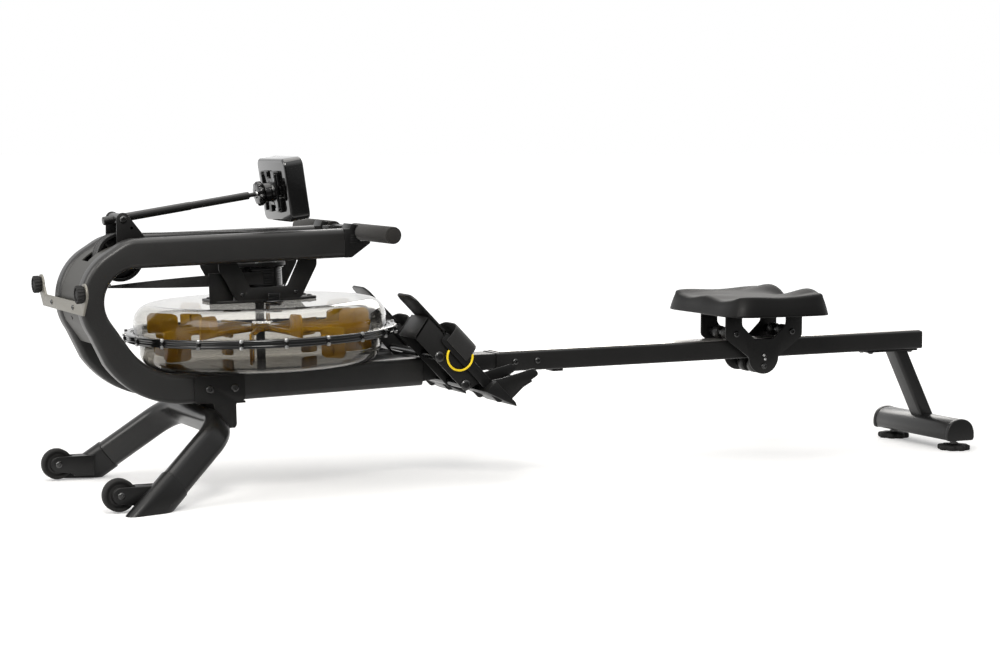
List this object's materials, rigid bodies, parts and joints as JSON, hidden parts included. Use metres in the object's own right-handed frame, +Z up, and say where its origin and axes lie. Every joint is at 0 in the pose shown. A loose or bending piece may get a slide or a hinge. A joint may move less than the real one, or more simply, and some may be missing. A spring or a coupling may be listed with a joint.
{
  "type": "water rowing machine",
  "caption": "Rowing machine with a round water tank between bent side tubes, a monitor on an arm, a strap handle, footplates with heel cups, and a seat on a long single rail.",
  "frame": {"origin": "on the floor under the middle of the bounding box", "axes": "+X to the rear along the rail, +Y to the rower's right (across), +Z up"},
  "size_m": [2.0986, 0.5838, 0.6708],
  "materials": {
    "left_side_frame": "satin black powder coat",
    "left_storage_foot": "matt",
    "left_handle_rest": "fine matt texture",
    "left_leg_cap": "fine matt texture",
    "left_front_wheel": "matt",
    "left_rear_cap": "fine matt texture",
    "left_levelling_foot": "matt",
    "left_footplate": "satin black powder coat",
    "left_heel_slide": "fine matt texture",
    "left_foot_strap": "woven",
    "left_seat_plate": "satin black powder coat",
    "left_grip": "open foam",
    "right_side_frame": "satin black powder coat",
    "right_storage_foot": "matt",
    "right_handle_rest": "fine matt texture",
    "right_leg_cap": "fine matt texture",
    "right_front_wheel": "matt",
    "right_rear_cap": "fine matt texture",
    "right_levelling_foot": "matt",
    "right_footplate": "satin black powder coat",
    "right_heel_slide": "fine matt texture",
    "right_foot_strap": "woven",
    "right_seat_plate": "satin black powder coat",
    "right_grip": "open foam",
    "front_cover": "satin grey metal",
    "storage_bracket": "satin grey metal",
    "tank_upper_shell": "clear, polished",
    "tank_lower_shell": "clear, smoked",
    "tank_clamp_ring": "fine matt texture",
    "tank_cradle": "satin black powder coat",
    "impeller": "smooth",
    "drive_bracket": "satin black powder coat",
    "strap_drum": "fine matt texture",
    "spring_case": "brushed",
    "fill_plug": "matt",
    "front_pulley": "fine matt texture",
    "pulley_axle": "brushed",
    "strap_idler": "brushed",
    "strap_guide": "brushed",
    "pull_strap": "woven",
    "monitor_bracket": "satin black powder coat",
    "monitor_arm": "satin black powder coat",
    "pivot_ball": "brushed",
    "lock_knob": "fine matt texture",
    "monitor_mount": "fine matt texture",
    "monitor_housing": "satin moulding",
    "leg_clamp": "satin black powder coat",
    "front_leg_tube": "satin black powder coat",
    "centre_beam": "satin black powder coat",
    "rear_leg": "satin black powder coat",
    "upper_foot_rod": "satin black powder coat",
    "lower_foot_rod": "satin black powder coat",
    "seat_cushion": "soft moulded skin",
    "front_roller": "fine matt texture",
    "rear_roller": "fine matt texture",
    "lower_roller": "fine matt texture",
    "rail": "satin black powder coat",
    "rail_strip": "brushed",
    "rail_end_cap": "fine matt texture",
    "handle_bar": "satin black powder coat"
  },
  "bodies": {
    "frame": {"left_side_frame": "left_side_frame", "left_storage_foot": "left_storage_foot", "left_handle_rest": "left_handle_rest", "left_leg_cap": "left_leg_cap", "left_rear_cap": "left_rear_cap", "left_footplate": "left_footplate", "right_side_frame": "right_side_frame", "right_storage_foot": "right_storage_foot", "right_handle_rest": "right_handle_rest", "right_leg_cap": "right_leg_cap", "right_rear_cap": "right_rear_cap", "right_footplate": "right_footplate", "front_cover": "front_cover", "storage_bracket": "storage_bracket", "tank_upper_shell": "tank_upper_shell", "tank_lower_shell": "tank_lower_shell", "tank_clamp_ring": "tank_clamp_ring", "tank_cradle": "tank_cradle", "drive_bracket": "drive_bracket", "spring_case": "spring_case", "pulley_axle": "pulley_axle", "pull_strap": "pull_strap", "monitor_bracket": "monitor_bracket", "leg_clamp": "leg_clamp", "front_leg_tube": "front_leg_tube", "centre_beam": "centre_beam", "rear_leg": "rear_leg", "upper_foot_rod": "upper_foot_rod", "lower_foot_rod": "lower_foot_rod", "rail": "rail", "rail_strip": "rail_strip", "rail_end_cap": "rail_end_cap"},
    "left_wheel": {"left_front_wheel": "left_front_wheel"},
    "right_wheel": {"right_front_wheel": "right_front_wheel"},
    "handle": {"handle_bar": "handle_bar", "left_grip": "left_grip", "right_grip": "right_grip"},
    "pulley": {"front_pulley": "front_pulley"},
    "idler": {"strap_idler": "strap_idler"},
    "guide": {"strap_guide": "strap_guide"},
    "drive": {"impeller": "impeller", "strap_drum": "strap_drum"},
    "plug": {"fill_plug": "fill_plug"},
    "arm": {"monitor_arm": "monitor_arm"},
    "ball": {"pivot_ball": "pivot_ball"},
    "head": {"monitor_mount": "monitor_mount", "monitor_housing": "monitor_housing"},
    "knob": {"lock_knob": "lock_knob"},
    "left_heel": {"left_heel_slide": "left_heel_slide", "left_foot_strap": "left_foot_strap"},
    "right_heel": {"right_heel_slide": "right_heel_slide", "right_foot_strap": "right_foot_strap"},
    "seat": {"seat_cushion": "seat_cushion", "left_seat_plate": "left_seat_plate", "right_seat_plate": "right_seat_plate"},
    "front_rollers": {"front_roller": "front_roller"},
    "rear_rollers": {"rear_roller": "rear_roller"},
    "lower_rollers": {"lower_roller": "lower_roller"},
    "left_leveller": {"left_levelling_foot": "left_levelling_foot"},
    "right_leveller": {"right_levelling_foot": "right_levelling_foot"}
  },
  "joints": [
    {"name": "handle_pull", "type": "slide", "parent": "frame", "child": "handle", "axis": [1, 0, 0], "range_m": [0, 1.05], "stiffness_N_per_m": 12, "springref_m": -0.5, "deforming": ["pull_strap"]},
    {"name": "pulley_turn", "type": "hinge", "parent": "frame", "child": "pulley", "pos_m": [-0.91965, 0, 0.47197], "axis": [0, 1, 0], "range_deg": [-5, 1305]},
    {"name": "idler_turn", "type": "hinge", "parent": "frame", "child": "idler", "pos_m": [-0.95386, 0, 0.42077], "axis": [0, 1, 0], "range_deg": [-5, 7254]},
    {"name": "guide_turn", "type": "hinge", "parent": "frame", "child": "guide", "pos_m": [-0.72036, -0.0235, 0.4086], "axis": [-0.0314, 0, 0.9995], "range_deg": [-8247, 5]},
    {"name": "drum_turn", "type": "hinge", "parent": "frame", "child": "drive", "pos_m": [-0.62355, 0, 0.3206], "axis": [-0.0314, 0, 0.9995], "range_deg": [-1251, 5]},
    {"name": "plug_lift", "type": "slide", "parent": "frame", "child": "plug", "axis": [-0.0314, 0, 0.9995], "range_m": [0, 0.03]},
    {"name": "arm_tilt", "type": "hinge", "parent": "frame", "child": "arm", "pos_m": [-0.91993, 0, 0.5477], "axis": [0, -1, 0], "range_deg": [0, 35]},
    {"name": "head_swivel", "type": "hinge", "parent": "arm", "child": "ball", "pos_m": [-0.62469, 0, 0.59499], "axis": [-0.1582, 0, 0.9874], "range_deg": [-25, 25]},
    {"name": "head_tilt", "type": "hinge", "parent": "ball", "child": "head", "pos_m": [-0.62469, 0, 0.59499], "axis": [0, -1, 0], "range_deg": [-8, 25]},
    {"name": "knob_turn", "type": "hinge", "parent": "head", "child": "knob", "pos_m": [-0.62469, 0, 0.59499], "axis": [0.9874, 0, 0.1582], "range_deg": [-180, 180]},
    {"name": "seat_travel", "type": "slide", "parent": "frame", "child": "seat", "axis": [0.9999, 0, 0.0115], "range_m": [-0.462, 0.26]},
    {"name": "left_wheel_spin", "type": "hinge", "parent": "frame", "child": "left_wheel", "pos_m": [-0.98766, -0.2287, 0.0344], "axis": [0, 1, 0], "continuous": true},
    {"name": "left_heel_length", "type": "slide", "parent": "frame", "child": "left_heel", "axis": [-0.7009, 0, 0.7132], "range_m": [-0.06, 0]},
    {"name": "left_leveller_turn", "type": "hinge", "parent": "frame", "child": "left_leveller", "pos_m": [1.01234, -0.1196, 0.01], "axis": [0, 0, 1], "range_deg": [-180, 180]},
    {"name": "right_wheel_spin", "type": "hinge", "parent": "frame", "child": "right_wheel", "pos_m": [-0.98766, 0.2287, 0.0344], "axis": [0, 1, 0], "continuous": true},
    {"name": "right_heel_length", "type": "slide", "parent": "frame", "child": "right_heel", "axis": [-0.7009, 0, 0.7132], "range_m": [-0.06, 0]},
    {"name": "right_leveller_turn", "type": "hinge", "parent": "frame", "child": "right_leveller", "pos_m": [1.01234, 0.1196, 0.01], "axis": [0, 0, 1], "range_deg": [-180, 180]},
    {"name": "front_roller_turn", "type": "hinge", "parent": "seat", "child": "front_rollers", "pos_m": [0.46734, 0, 0.27802], "axis": [0, 1, 0], "range_deg": [-1896, 1070]},
    {"name": "rear_roller_turn", "type": "hinge", "parent": "seat", "child": "rear_rollers", "pos_m": [0.61134, 0, 0.27968], "axis": [0, 1, 0], "range_deg": [-1896, 1070]},
    {"name": "lower_roller_turn", "type": "hinge", "parent": "seat", "child": "lower_rollers", "pos_m": [0.53934, 0, 0.20435], "axis": [0, 1, 0], "range_deg": [-882, 1563]}
  ],
  "couplings": [
    {"joint": "pulley_turn", "follows": "handle_pull", "rad_per_m": 21.598},
    {"joint": "idler_turn", "follows": "handle_pull", "rad_per_m": 120.48},
    {"joint": "guide_turn", "follows": "handle_pull", "rad_per_m": -136.99},
    {"joint": "drum_turn", "follows": "handle_pull", "rad_per_m": -20.704},
    {"joint": "front_roller_turn", "follows": "seat_travel", "rad_per_m": 71.429},
    {"joint": "rear_roller_turn", "follows": "seat_travel", "rad_per_m": 71.429},
    {"joint": "lower_roller_turn", "follows": "seat_travel", "rad_per_m": -58.824}
  ]
}
